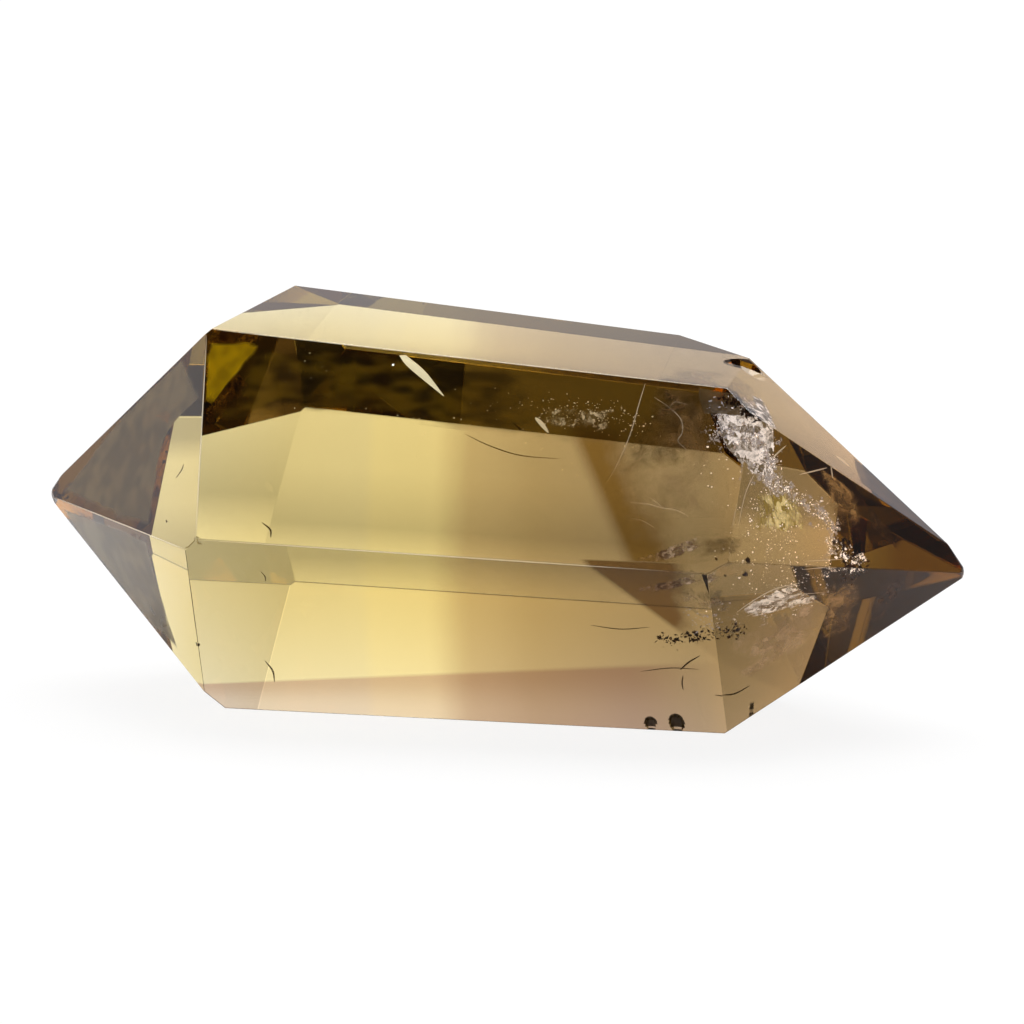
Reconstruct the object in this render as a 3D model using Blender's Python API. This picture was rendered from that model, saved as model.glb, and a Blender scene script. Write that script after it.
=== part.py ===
"""A double-ended citrine crystal point, lying on one of its six prism faces.

The stone is made the way a cutter makes it. A rough block is ground flat once for
each face: six faces along its length, which lean in a little towards the smoky
end, and six at each end, which meet in a point. Then comes what use does to it.
Each edge is rounded in narrow strips, the two tips are worn blunt, and a few
shell-shaped chips have broken out of corners and edges.

Units are metres. The long axis runs along X, the pale end at -X and the smoky end
at +X. The origin is under the middle of the stone, on the surface it lies on.
"""

import math

import bmesh
import bpy
from mathutils import Matrix, Vector

MM = 0.001

# Driving dimensions ---------------------------------------------------------------
# Faces are placed in the stone's own frame: the origin in the middle of the stone,
# X along its axis, and angles counted in degrees round X, from the front (-Y) up.

# Prism faces: angle, distance from the axis at mid length (mm), lean towards +X.
PRISM_FACES = {
    "top": (87.5, 9.70, 2.2),
    "front_upper": (32.1, 9.55, 2.7),
    "front_lower": (-30.9, 9.30, 3.3),
    "base": (-90.0, 9.50, 2.0),
    "back_lower": (-150.0, 9.65, 2.5),
    "back_upper": (150.7, 9.70, 2.5),
}
# Tip faces: angle, slope to the axis, and how far out they meet the axis (mm).
PALE_TIP_FACES = {
    "top": (92.7, 44.1, 24.30),
    "front_upper": (24.5, 42.5, 24.85),
    "front_lower": (-29.4, 40.8, 25.50),
    "base": (-82.2, 40.6, 25.37),
    "back_lower": (-154.6, 39.6, 25.65),
    "back_upper": (154.3, 42.6, 24.10),
}
SMOKY_TIP_FACES = {
    "top": (89.9, 36.1, 25.15),
    "front_upper": (32.4, 39.9, 24.90),
    "front_lower": (-30.3, 35.2, 25.55),
    "base": (-90.1, 36.7, 25.50),
    "back_lower": (-150.0, 36.4, 25.05),
    "back_upper": (143.3, 31.7, 24.15),
}
FRONT_EDGE_RADIUS = 0.09 * MM
BACK_EDGE_RADIUS = 0.11 * MM  # the far side is worn a little more
BACK_EDGE_TURN = 0.05  # an edge faces the far side when its direction has more +Y than this
EDGE_STRIPS = 4  # flat strips that round off one edge
SHORT_EDGE = 0.15 * MM  # edges below this are left as they are
MERGE_DISTANCE = 0.003 * MM  # corners that fall closer together than this are one
TIP_RADIUS = 0.65 * MM  # the ball that each worn tip is rounded to
TIP_HALF_ANGLE = 42.0  # of the point at each end, degrees
TIP_RINGS = ((0.0, 1), (17.0, 8), (34.0, 12))  # tilt of each ring of flats, flats in it
BLOCK_SIDE = 80 * MM  # the rough block, larger than the stone on every side

# Chips, on the lying stone: centre (mm), half sizes of the scoop (mm), turn round Y.
CHIPS = {
    "top_corner_chip": ((12.95, 0.80, 18.38), (1.75, 1.15, 0.72), 19.0),
    "shoulder_nick_upper": ((13.50, -5.22, 17.86), (0.42, 0.26, 0.24), 38.0),
    "shoulder_nick_lower": ((14.15, -5.52, 17.34), (0.34, 0.22, 0.20), 38.0),
    "ridge_end_nick_upper": ((-13.03, -11.98, 10.25), (0.24, 0.26, 0.34), 0.0),
    "ridge_end_nick_lower": ((-13.80, -11.62, 9.62), (0.28, 0.24, 0.22), 0.0),
    "foot_nick_long": ((9.20, -5.15, 0.10), (0.42, 0.50, 0.66), 0.0),
    "foot_nick_short": ((10.55, -5.10, 0.10), (0.48, 0.54, 0.92), 0.0),
}
CHIP_SEGMENTS = 14
CHIP_RINGS = 8

STONE_COLOUR = (0.80, 0.66, 0.30, 1.0)
POLISH_ROUGHNESS = 0.03
QUARTZ_IOR = 1.544


def face_normal(around_deg, lean_deg):
    """Outward direction of a face: round the axis from the front, then tipped to +X."""
    around = math.radians(around_deg)
    lean = math.radians(lean_deg)
    return Vector((
        math.sin(lean),
        -math.cos(around) * math.cos(lean),
        math.sin(around) * math.cos(lean),
    ))


def facet_planes():
    """Each polished face as (a point on it, its outward normal)."""
    planes = []
    for around, distance, lean in PRISM_FACES.values():
        normal = face_normal(around, lean)
        planes.append((normal * distance * MM, normal))
    for side, faces in ((-1, PALE_TIP_FACES), (1, SMOKY_TIP_FACES)):
        for around, slope, reach in faces.values():
            apex = Vector((side * reach * MM, 0, 0))
            planes.append((apex, face_normal(around, side * slope)))
    return planes


def grind(stone, point, normal):
    """Cuts away what lies outside a plane and closes the cut with one flat face."""
    everything = stone.verts[:] + stone.edges[:] + stone.faces[:]
    cut = bmesh.ops.bisect_plane(
        stone, geom=everything, plane_co=point, plane_no=normal, clear_outer=True
    )
    rim = [item for item in cut["geom_cut"] if isinstance(item, bmesh.types.BMEdge)]
    if len(rim) > 2:
        bmesh.ops.contextual_create(stone, geom=rim)


def edge_wear_planes(stone):
    """Strips that round every edge: planes tangent to a cylinder laid inside the edge.

    A cylinder of radius r touches both faces when its axis runs through
    v - r (a + b) / (1 + a.b), for a corner v and the two face normals a and b.
    """
    planes = []
    for edge in stone.edges:
        if edge.calc_length() < SHORT_EDGE:
            continue
        first, second = (face.normal.copy() for face in edge.link_faces)
        middle = (first + second).normalized()
        radius = BACK_EDGE_RADIUS if middle.y > BACK_EDGE_TURN else FRONT_EDGE_RADIUS
        inset = (first + second) / (1 + first.dot(second)) * radius
        axis_point = edge.verts[0].co - inset
        for strip in range(EDGE_STRIPS):
            share = (strip + 0.5) / EDGE_STRIPS
            normal = first.slerp(second, share)
            planes.append((axis_point + normal * radius, normal))
    return planes


def tip_wear_planes(stone):
    """Rings of small flats that blunt each tip: planes tangent to a ball laid inside it.

    A ball of radius r touches the sides of a point of half angle h when its centre
    is r / sin(h) behind the sharp tip.
    """
    planes = []
    setback = TIP_RADIUS / math.sin(math.radians(TIP_HALF_ANGLE))
    for side in (-1, 1):
        tip = max(stone.verts, key=lambda vert: side * vert.co.x).co
        centre = tip - Vector((side * setback, 0, 0))
        for tilt_deg, flats in TIP_RINGS:
            for step in range(flats):
                normal = face_normal(360.0 * step / flats, side * (90.0 - tilt_deg))
                planes.append((centre + normal * TIP_RADIUS, normal))
    return planes


def lay_down(stone):
    """Turns the stone until its base face is level, and sets it on Z = 0, centred."""
    base_lean = math.radians(PRISM_FACES["base"][2])
    turn = Matrix.Rotation(base_lean, 3, "Y")
    bmesh.ops.rotate(stone, verts=stone.verts, cent=(0, 0, 0), matrix=turn)
    low = [min(vert.co[axis] for vert in stone.verts) for axis in range(3)]
    high = [max(vert.co[axis] for vert in stone.verts) for axis in range(3)]
    shift = (-(low[0] + high[0]) / 2, -(low[1] + high[1]) / 2, -low[2])
    bmesh.ops.translate(stone, verts=stone.verts, vec=shift)


def chip_cutter(name, centre, half_sizes, turn_deg):
    """An egg-shaped cutter; where it dips into the stone it leaves a shell-shaped scoop."""
    egg = bmesh.new()
    bmesh.ops.create_uvsphere(egg, u_segments=CHIP_SEGMENTS, v_segments=CHIP_RINGS, radius=MM)
    bmesh.ops.scale(egg, verts=egg.verts, vec=half_sizes)
    turn = Matrix.Rotation(math.radians(turn_deg), 3, "Y")
    bmesh.ops.rotate(egg, verts=egg.verts, cent=(0, 0, 0), matrix=turn)
    bmesh.ops.translate(egg, verts=egg.verts, vec=Vector(centre) * MM)
    mesh = bpy.data.meshes.new(name)
    egg.to_mesh(mesh)
    egg.free()
    cutter = bpy.data.objects.new(name, mesh)
    cutter.display_type = "WIRE"
    cutter.hide_render = True
    bpy.context.scene.collection.objects.link(cutter)
    return cutter


def citrine_material():
    """Clear yellow quartz with a glassy polish."""
    material = bpy.data.materials.new("citrine")
    material.use_nodes = True
    shader = material.node_tree.nodes["Principled BSDF"]
    shader.inputs["Base Color"].default_value = STONE_COLOUR
    shader.inputs["Metallic"].default_value = 0.0
    shader.inputs["Roughness"].default_value = POLISH_ROUGHNESS
    shader.inputs["IOR"].default_value = QUARTZ_IOR
    shader.inputs["Transmission Weight"].default_value = 1.0
    return material


def cut_stone():
    """The polished, worn stone as one closed solid, before the chips."""
    stone = bmesh.new()
    bmesh.ops.create_cube(stone, size=BLOCK_SIDE)
    for point, normal in facet_planes():
        grind(stone, point, normal)
    stone.normal_update()
    wear = edge_wear_planes(stone) + tip_wear_planes(stone)
    for point, normal in wear:
        grind(stone, point, normal)
    bmesh.ops.remove_doubles(stone, verts=stone.verts, dist=MERGE_DISTANCE)
    lay_down(stone)
    bmesh.ops.recalc_face_normals(stone, faces=stone.faces)
    mesh = bpy.data.meshes.new("citrine_point")
    stone.to_mesh(mesh)
    stone.free()
    return mesh


def build_crystal():
    """The whole crystal: the cut stone with its chips broken out."""
    crystal = bpy.data.objects.new("citrine_point", cut_stone())
    crystal.data.materials.append(citrine_material())
    bpy.context.scene.collection.objects.link(crystal)
    for name, (centre, half_sizes, turn_deg) in CHIPS.items():
        break_out = crystal.modifiers.new(name, "BOOLEAN")
        break_out.operation = "DIFFERENCE"
        break_out.solver = "EXACT"
        break_out.object = chip_cutter(name, centre, half_sizes, turn_deg)
    return crystal


def main():
    for old in list(bpy.data.objects):
        bpy.data.objects.remove(old, do_unlink=True)
    build_crystal()


main()
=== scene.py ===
# %% [markdown]
# # A citrine crystal point
#
# The object is one polished piece of yellow quartz, pointed at both ends, lying on one
# of its long faces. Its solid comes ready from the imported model, and this script gives
# it its look: clear stone, the marks inside it, and a small studio round it.
#
# A clear stone shows its surroundings, bent and folded by its faces. So most of the
# work is in three places: how the stone takes up light, what is inside it, and where
# the light comes from.

import math

import bpy
import numpy as np
from mathutils import Matrix, Vector


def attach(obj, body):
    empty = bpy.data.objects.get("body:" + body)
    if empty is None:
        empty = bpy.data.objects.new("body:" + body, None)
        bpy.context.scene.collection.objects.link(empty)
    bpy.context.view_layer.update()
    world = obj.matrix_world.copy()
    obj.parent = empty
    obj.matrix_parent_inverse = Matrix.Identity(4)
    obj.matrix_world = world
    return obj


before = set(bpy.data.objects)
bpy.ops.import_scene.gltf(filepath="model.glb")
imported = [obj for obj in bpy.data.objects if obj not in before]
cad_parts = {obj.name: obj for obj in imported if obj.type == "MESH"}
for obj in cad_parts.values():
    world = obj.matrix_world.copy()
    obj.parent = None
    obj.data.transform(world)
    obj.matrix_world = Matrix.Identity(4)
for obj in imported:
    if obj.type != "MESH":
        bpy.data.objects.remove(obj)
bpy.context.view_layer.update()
MM = 0.001

# %% [markdown]
# ## The camera
#
# The stone is seen from a little to the right of straight ahead and from a little
# above, through a long lens, so that its far edges look almost as long as its near
# ones. The camera is placed by two angles and a distance from the point it looks at.

# %% The camera
CAMERA_YAW = 14.43  # degrees to the right of straight ahead
CAMERA_RISE = 11.26  # degrees above the horizon
CAMERA_TILT = 0.23  # degrees, clockwise
CAMERA_DISTANCE = 369.7 * MM
VIEW_WIDTH = 53.57 * MM  # what the frame spans at that distance
AIM_ACROSS = 0.55 * MM  # where the lens points, across and up from the origin
AIM_UP = 9.83 * MM
SENSOR = 36.0

yaw, rise = math.radians(CAMERA_YAW), math.radians(CAMERA_RISE)
camera_back = Vector((math.sin(yaw) * math.cos(rise), -math.cos(yaw) * math.cos(rise), math.sin(rise)))
level_right = Vector((0, 0, 1)).cross(camera_back).normalized()
camera_right = Matrix.Rotation(math.radians(CAMERA_TILT), 3, camera_back) @ level_right
camera_up = camera_back.cross(camera_right)
camera_place = camera_right * AIM_ACROSS + camera_up * AIM_UP + camera_back * CAMERA_DISTANCE

camera_data = bpy.data.cameras.new("camera")
camera_data.sensor_width = SENSOR
camera_data.lens = SENSOR * CAMERA_DISTANCE / VIEW_WIDTH
camera_data.clip_start = 0.01
camera_data.clip_end = 10.0
camera = bpy.data.objects.new("camera", camera_data)
turn = Matrix((camera_right, camera_up, camera_back)).transposed().to_4x4()
camera.matrix_world = Matrix.Translation(camera_place) @ turn
bpy.context.scene.collection.objects.link(camera)
bpy.context.scene.camera = camera
print("lens", round(camera_data.lens), "mm")

# %% [markdown]
# ## The studio
#
# A stone on a white table, lit softly from behind and above, with a dim room in
# front of it. A clear stone bends the view, so each of its faces shows another part
# of this room: the long faces show the table behind the stone and the bright screen
# above it, and the faces that throw the view forwards turn dark.
#
# The table shows as plain white, with only a trace of shadow. What the stone sees of
# it has a pool of light painted into its colour, bright behind the stone and dimming towards the room.

# %% The table
scene = bpy.context.scene
scene.view_settings.view_transform = "Standard"
scene.view_settings.look = "None"
LIGHT_BOUNCES = 48  # light turns round many times between the faces before it gets out
for kind in ("max", "diffuse", "glossy", "transmission", "transparent_max"):
    setattr(scene.cycles, kind + "_bounces", LIGHT_BOUNCES)


def node_in(tree, kind, settings=(), inputs=()):
    """Adds a shader node; settings are its properties, inputs its socket values or links."""
    node = tree.nodes.new("ShaderNode" + kind)
    for key, value in dict(settings).items():
        setattr(node, key, value)
    for key, value in dict(inputs).items():
        if isinstance(value, bpy.types.NodeSocket):
            tree.links.new(value, node.inputs[key])
        else:
            node.inputs[key].default_value = value
    return node


def ramp(tree, value, start, end, low=0.0, high=1.0, shape="SMOOTHSTEP"):
    """A step from low to high while value goes from start to end."""
    ends = {0: value, 1: start, 2: end, 3: low, 4: high}
    return node_in(tree, "MapRange", {"interpolation_type": shape}, ends).outputs[0]


def maths(tree, operation, first, second=0.0):
    return node_in(tree, "Math", {"operation": operation}, {0: first, 1: second}).outputs[0]


def sums_in(tree):
    """Four short functions for a tree: the sum, difference, product and quotient of two values."""
    kinds = ("ADD", "SUBTRACT", "MULTIPLY", "DIVIDE")
    return [lambda first, second, kind=kind: maths(tree, kind, first, second) for kind in kinds]


MIX_FIRST, MIX_SECOND, MIX_RESULT = 6, 7, 2  # where a mix node has its colours


def blend(tree, factor, first, second, mode="MIX"):
    """One colour over another, by a factor."""
    settings = {"data_type": "RGBA", "blend_type": mode}
    ends = {0: factor, MIX_FIRST: first, MIX_SECOND: second}
    return node_in(tree, "Mix", settings, ends).outputs[MIX_RESULT]


def set_stops(ramp_node, stops, reach):
    """Gives a colour ramp its stops; their places are in mm, from -reach to +reach."""
    elements = ramp_node.color_ramp.elements
    while len(elements) < len(stops):
        elements.new(0.5)
    for element, (distance, colour) in zip(elements, stops):
        element.position = (distance + reach) / (2 * reach)
        element.color = (*colour, 1)


def vector(tree, operation, inputs):
    return node_in(tree, "VectorMath", {"operation": operation}, inputs).outputs[0]


def new_group(name, inputs, outputs):
    """An empty node group with these sockets, what comes into it and what goes out of it."""
    group = bpy.data.node_groups.new(name, "ShaderNodeTree")
    for way, sockets in (("INPUT", inputs), ("OUTPUT", outputs)):
        for socket, kind in sockets.items():
            group.interface.new_socket(socket, in_out=way, socket_type="NodeSocket" + kind)
    return group, group.nodes.new("NodeGroupInput").outputs, group.nodes.new("NodeGroupOutput").inputs


def new_material(name):
    """A material, its nodes and its shader."""
    material = bpy.data.materials.new(name)
    material.use_nodes = True
    return material, material.node_tree, material.node_tree.nodes["Principled BSDF"]


def link_new_mesh(name, points, faces, smooth=False):
    """Makes an object from a (n, 3) array of points and a list or array of faces."""
    mesh = bpy.data.meshes.new(name)
    mesh.from_pydata(np.asarray(points).tolist(), [], [list(map(int, f)) for f in faces])
    mesh.polygons.foreach_set("use_smooth", [smooth] * len(mesh.polygons))
    mesh.update()
    thing = bpy.data.objects.new(name, mesh)
    scene.collection.objects.link(thing)
    return thing


TABLE_RADIUS = 1.5
TABLE_SIDES = 96
TABLE_GAP = 0.02 * MM  # keeps the table from touching the stone's lowest face
t = np.linspace(0, 2 * math.pi, TABLE_SIDES, endpoint=False)
rim = np.stack([TABLE_RADIUS * np.cos(t), TABLE_RADIUS * np.sin(t), np.zeros(TABLE_SIDES)], axis=1)
table = link_new_mesh("table", rim, [range(TABLE_SIDES)])
table.location.z = -TABLE_GAP

TABLE_REACH = 100.0  # mm, how far the pool of light is described to either side
# The light pool is painted light and shade in the table's colour; only the stone's view of the table shows
# it.
LIGHT_POOL = (  # distance behind the stone's middle (mm), and how light the table is there
    (-40.0, 0.40),
    (-8.0, 0.46),
    (9.0, 1.05),
    (17.0, 1.06),
    (28.0, 0.60),
    (43.0, 0.82),
    (58.0, 0.87),
    (67.0, 0.53),
    (100.0, 0.50),
)
POOL_BLUE = 1.01  # how much bluer than grey the pool is
SHADOW_TRACE = 0.12  # how much of the table's real light and shade shows
TABLE_WHITE = 0.9
paint, tree, _ = new_material("white_table")
tree.nodes.clear()
spot = node_in(tree, "TexCoord").outputs["Object"]
place = node_in(tree, "SeparateXYZ", inputs={0: spot})
reach = ramp(tree, place.outputs["Y"], -TABLE_REACH * MM, TABLE_REACH * MM, shape="LINEAR")
pool = node_in(tree, "ValToRGB", inputs={0: reach})
set_stops(pool, [(distance, (grey, grey, grey * POOL_BLUE)) for distance, grey in LIGHT_POOL], TABLE_REACH)
matt = node_in(tree, "BsdfDiffuse", inputs={"Color": (*[TABLE_WHITE] * 3, 1)})
shade = node_in(tree, "BsdfDiffuse", inputs={"Color": pool.outputs[0]})
white = node_in(tree, "Emission", inputs={"Color": (1, 1, 1, 1), "Strength": 1.0})
shown = node_in(tree, "MixShader", inputs={
    0: SHADOW_TRACE, 1: white.outputs[0], 2: matt.outputs[0]})
direct = node_in(tree, "LightPath").outputs["Is Camera Ray"]
both = node_in(tree, "MixShader", inputs={0: direct, 1: shade.outputs[0], 2: shown.outputs[0]})
node_in(tree, "OutputMaterial", inputs={"Surface": both.outputs[0]})
table.data.materials.append(paint)
print("table", 2 * TABLE_RADIUS, "m across, the light pool has", len(LIGHT_POOL), "steps")

# %% [markdown]
# ## The light
#
# A bright screen stands behind the stone and a dim room in front of it. Both are part
# of the world's background, so their borders can be as soft as they need to be, and the
# stone finds them in every direction. A low window on the left adds a little from the
# side, and a weak lamp overhead gives the trace of shadow.

# %% The light
# Each is a soft step along one direction of the sky: its start, its end, and the values before and after.
SCREEN_FOOT = (0.31, 0.42, 0.58, 1.5)
SCREEN_HEAD = (0.62, 0.95, 1.0, 0.42)
SCREEN_END = (0.2, 0.62, 1.0, 0.4)
ROOM_HEAD = (0.6, 0.8, 1.0, 0.06)
ROOM_END = (0.35, 0.9, 0.36, 0.2)
ROOM_TO_SCREEN = (-0.15, 0.72, 0.0, 1.0)
ROOM_TURN = -0.26  # turns their border, so that it lies further back on the right
WINDOW_EDGE = (-0.55, -0.92, 0.0, 0.3)
WINDOW_HEAD = (0.25, 0.45, 1.0, 0.0)
WARM_HEIGHT = (0.3, 0.48, 0.0, 1.0)
COOL_LIGHT = (0.99, 0.98, 1.05, 1)
WARM_LIGHT = (1.0, 0.985, 0.97, 1)
LAMP_SIZE = (0.9, 0.6)  # metres
LAMP_PLACE = (0, 0.25, 0.75)
LAMP_LEAN = -18  # degrees
LAMP_POWER = 8.0  # watts

world = bpy.data.worlds.new("studio")
scene.world = world
world.use_nodes = True
sky = world.node_tree
sky.nodes.clear()

direction = node_in(sky, "TexCoord").outputs["Generated"]
axes = node_in(sky, "SeparateXYZ", inputs={0: direction})
right, back, up = axes.outputs
turned = maths(sky, "MULTIPLY_ADD", right, ROOM_TURN)
sky.links.new(back, turned.node.inputs[2])

plus, _, times, _ = sums_in(sky)
screen = times(times(ramp(sky, up, *SCREEN_FOOT), ramp(sky, up, *SCREEN_HEAD)), ramp(sky, right, *SCREEN_END))
room = times(ramp(sky, up, *ROOM_HEAD), ramp(sky, right, *ROOM_END))
facing = ramp(sky, turned, *ROOM_TO_SCREEN)
level = node_in(sky, "Mix", {"data_type": "FLOAT"}, {0: facing, 2: room, 3: screen}).outputs[0]
level = plus(level, times(ramp(sky, right, *WINDOW_EDGE), ramp(sky, up, *WINDOW_HEAD)))
tint = blend(sky, ramp(sky, up, *WARM_HEIGHT), COOL_LIGHT, WARM_LIGHT)
light = node_in(sky, "Background", inputs={"Color": tint, "Strength": level})
backdrop = node_in(sky, "Background", inputs={"Color": (1, 1, 1, 1), "Strength": 1.0})
seen = node_in(sky, "LightPath").outputs["Is Camera Ray"]
choose = node_in(sky, "MixShader", inputs={0: seen, 1: light.outputs[0], 2: backdrop.outputs[0]})
node_in(sky, "OutputWorld", inputs={"Surface": choose.outputs[0]})

lamp_light = bpy.data.lights.new("softbox", "AREA")
lamp_light.shape = "RECTANGLE"
lamp_light.size, lamp_light.size_y = LAMP_SIZE
lamp_light.energy = LAMP_POWER
lamp = bpy.data.objects.new("softbox", lamp_light)
lamp.location = LAMP_PLACE
lamp.rotation_euler = (math.radians(LAMP_LEAN), 0, 0)
scene.collection.objects.link(lamp)
print("lamp of", LAMP_POWER, "W and a screen up to", SCREEN_FOOT[3], "bright")

# %% [markdown]
# ## The stone
#
# Citrine takes up blue most and red least, so the longer the way through the stone,
# the more olive and brown the light that comes out. On top of that the colour grew in
# zones across the length of the crystal: a clear pale end, one brighter band, then a
# clean step to smoky brown. The zones are steep planes seen edge on, so a colour that
# depends on one distance along the stone shows them in every long face at once.
#
# Two more colours lie near the front only: a smoke-brown wedge with a slanted edge at
# the shoulder, and a tan strip of painted shade along the foot. They are worked out from
# the place too.

# %% Citrine
ZONE_HEADING = 12.0  # degrees between the zones' axis and the stone's own
ZONES = (  # distance along that axis (mm), and the colour from there
    (-15.0, (0.92, 0.93, 0.95)),
    (-6.7, (0.93, 0.93, 0.92)),
    (-6.1, (0.975, 0.96, 0.88)),
    (-3.0, (0.96, 0.93, 0.83)),
    (-1.2, (0.68, 0.59, 0.51)),
    (0.2, (0.63, 0.54, 0.47)),
    (2.2, (0.54, 0.45, 0.38)),
    (7.0, (0.45, 0.375, 0.35)),
    (11.0, (0.4, 0.33, 0.31)),
    (15.0, (0.58, 0.42, 0.31)),
    (18.0, (0.6, 0.38, 0.24)),
    # This last stop is partly the tip's smoky colour and partly painted shade that darkens the smoky tip.
    (20.5, (0.25, 0.1, 0.04)),
)
ZONE_REACH = 25.0  # mm, the ramp runs from minus to plus this


def growth_zones():
    """A node group that turns a place in the stone into the colour of its zone."""
    group, given, result = new_group("growth_zones", {"Place": "Vector"}, {"Colour": "Color"})
    heading = math.radians(ZONE_HEADING)
    axis = (math.cos(heading), math.sin(heading), 0)
    dot = {"operation": "DOT_PRODUCT"}
    along = node_in(group, "VectorMath", dot, {0: given["Place"], 1: axis}).outputs["Value"]
    share = ramp(group, along, -ZONE_REACH * MM, ZONE_REACH * MM, shape="LINEAR")
    colours = node_in(group, "ValToRGB", inputs={0: share})
    set_stops(colours, ZONES, ZONE_REACH)
    group.links.new(colours.outputs[0], result["Colour"])
    return group


CLEAR = (1, 1, 1, 1)
UPPER_TINT = (0.26, 0.155, 0.035, 1)
LOWER_TINT = (0.14, 0.08, 0.04, 1)
# The foot strip is painted shade: these tints darken the foot of the stone.
FOOT_SHADE_TINTS = ((0.74, 0.64, 0.95, 1), (0.52, 0.37, 0.47, 1))  # at the foot, and at its strip's upper line
RIDGE_HEIGHT = 9.95  # mm, where the two front faces meet
RIDGE_BLUR = 0.05
FRONT_DEPTH = (-0.5, -2.0)  # mm, the smoke sets in over this way towards the front
UPPER_SMOKE = (8.68, 10.68, -0.643)  # mm along, mm up, and how far it runs back per mm of height
LOWER_SMOKE = (7.40, 9.46, -1.15)
UPPER_BLUR = (-0.55, 0.55)  # mm to either side of the slanted edge
LOWER_BLUR = (-0.25, 0.35)
UPPER_TOP = (17.6, 15.2)  # mm up, the smoke thins out towards the top edge
UPPER_FADE = (1.0, 4.2, 1.0, 0.18)  # mm past the edge where it thins out, and how much there is of it
LOWER_FADE = (3.6, 5.2, 1.0, 0.25)
CLOUD_GRAIN = 0.40  # per mm
CLOUD_WANDER = 3.0  # mm, how far clouds push that fading to and fro
FOOT_LINE = (2.95, 0.105)  # mm up in the middle of the stone, and its rise per mm along
FOOT_BLUR = (0.94, 1.04)  # shares of that line's height
FOOT_RISE = (0.15, 0.95)
FOOT_FADE = (8.0, 14.0, 1.0, 0.1)  # mm along, and how much there is of it


def smoke_and_foot_shade_group():
    """Node group: place in, tint out. Behind a slanted edge the front of the stone is smoky:
    x - (x0 + slope (z - z0)) above 0, with one edge above the front ridge and one below it.
    Under a line that rises towards the smoky end the foot of the stone is darkened to tan by painted shade."""
    group, given, result = new_group("front_smoke_and_foot_shade", {"Place": "Vector"}, {"Tint": "Color"})
    plus, less, times, over = sums_in(group)
    in_mm = vector(group, "SCALE", {0: given["Place"], "Scale": 1 / MM})
    x, y, z = node_in(group, "SeparateXYZ", inputs={0: in_mm}).outputs
    cloud = node_in(group, "TexNoise", inputs={
        "Vector": in_mm, "Scale": CLOUD_GRAIN, "Detail": 4.0, "Roughness": 0.6}).outputs[0]
    wander = times(less(cloud, 0.5), CLOUD_WANDER)
    in_front = ramp(group, y, *FRONT_DEPTH)
    above = ramp(group, z, RIDGE_HEIGHT - RIDGE_BLUR, RIDGE_HEIGHT + RIDGE_BLUR)
    below = less(1.0, above)

    def past(edge):
        x0, z0, slope = edge
        return less(less(x, x0), times(less(z, z0), slope))

    upper = times(ramp(group, past(UPPER_SMOKE), *UPPER_BLUR),
                  ramp(group, plus(past(UPPER_SMOKE), wander), *UPPER_FADE))
    upper = times(upper, ramp(group, z, *UPPER_TOP))
    lower = times(ramp(group, past(LOWER_SMOKE), *LOWER_BLUR),
                  ramp(group, plus(less(x, LOWER_SMOKE[0]), wander), *LOWER_FADE))
    share = over(z, plus(FOOT_LINE[0], times(x, FOOT_LINE[1])))
    # painted shade along the foot
    foot = times(ramp(group, share, *FOOT_BLUR, 1.0, 0.0), ramp(group, x, *FOOT_FADE))
    foot_shade_tint = blend(group, ramp(group, share, *FOOT_RISE), *FOOT_SHADE_TINTS)
    tint = CLEAR
    parts = ((UPPER_TINT, upper, above), (LOWER_TINT, lower, below), (foot_shade_tint, foot, below))
    for colour, amount, side in parts:
        shade = blend(group, times(times(amount, side), in_front), CLEAR, colour)
        tint = shade if tint is CLEAR else blend(group, 1.0, tint, shade, mode="MULTIPLY")
    group.links.new(tint, result["Tint"])
    return group


QUARTZ_IOR = 1.544
BODY_COLOUR = (0.775, 0.62, 0.0, 1)  # red passes best and blue worst
BODY_DENSITY = 71.0  # per metre; it takes up density times (1 - colour)


def citrine():
    """Clear quartz: all light goes through, coloured on its way by the body and at the faces by the zones."""
    material, tree, shader = new_material("citrine")
    shader.inputs["Roughness"].default_value = 0.0
    shader.inputs["IOR"].default_value = QUARTZ_IOR
    shader.inputs["Transmission Weight"].default_value = 1.0
    place = node_in(tree, "TexCoord").outputs["Object"]
    zones = node_in(tree, "Group", {"node_tree": growth_zones()}, {0: place}).outputs[0]
    smoke = node_in(tree, "Group", {"node_tree": smoke_and_foot_shade_group()}, {0: place}).outputs[0]
    tree.links.new(blend(tree, 1.0, zones, smoke, mode="MULTIPLY"), shader.inputs["Base Color"])
    body = node_in(tree, "VolumeAbsorption", inputs={"Color": BODY_COLOUR, "Density": BODY_DENSITY})
    tree.links.new(body.outputs[0], tree.nodes["Material Output"].inputs["Volume"])
    return material


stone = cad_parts["citrine_point"]
stone.data.materials.clear()
stone.data.materials.append(citrine())
print("stone stands at", [round(v, 4) for v in stone.matrix_world.translation])

# %% [markdown]
# ## What is inside the stone
#
# The smoky end is full of healed cracks. Where one lies across the view it is a silvery
# feather, where it catches the light it breaks up into hundreds of bright flakes, and
# where iron got in there are dark specks. They are all thin, so each is a surface or a
# crowd of small flakes, placed in millimetres in the stone's own space, just as they
# would be measured from its faces.
#
# Four shapes make nearly all of them: a rippled sheet, flakes, a thread and specks.

# %% Pieces inside the stone
PIECE_COUNT = {}
FINISHES = {}


def inside_piece(name, points, faces, finish, smooth=True, uv=None):
    """Makes a piece from points in mm and an array of faces, and lets it ride on the stone."""
    thing = link_new_mesh(name, np.asarray(points) * MM, faces, smooth)
    if uv is not None:
        layer = thing.data.uv_layers.new(name="over_sheet")
        corners = np.array([loop.vertex_index for loop in thing.data.loops])
        layer.data.foreach_set("uv", uv[corners].ravel())
    thing.data.materials.append(FINISHES[finish])
    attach(thing, "root")
    PIECE_COUNT[name] = len(faces)
    return thing


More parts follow.
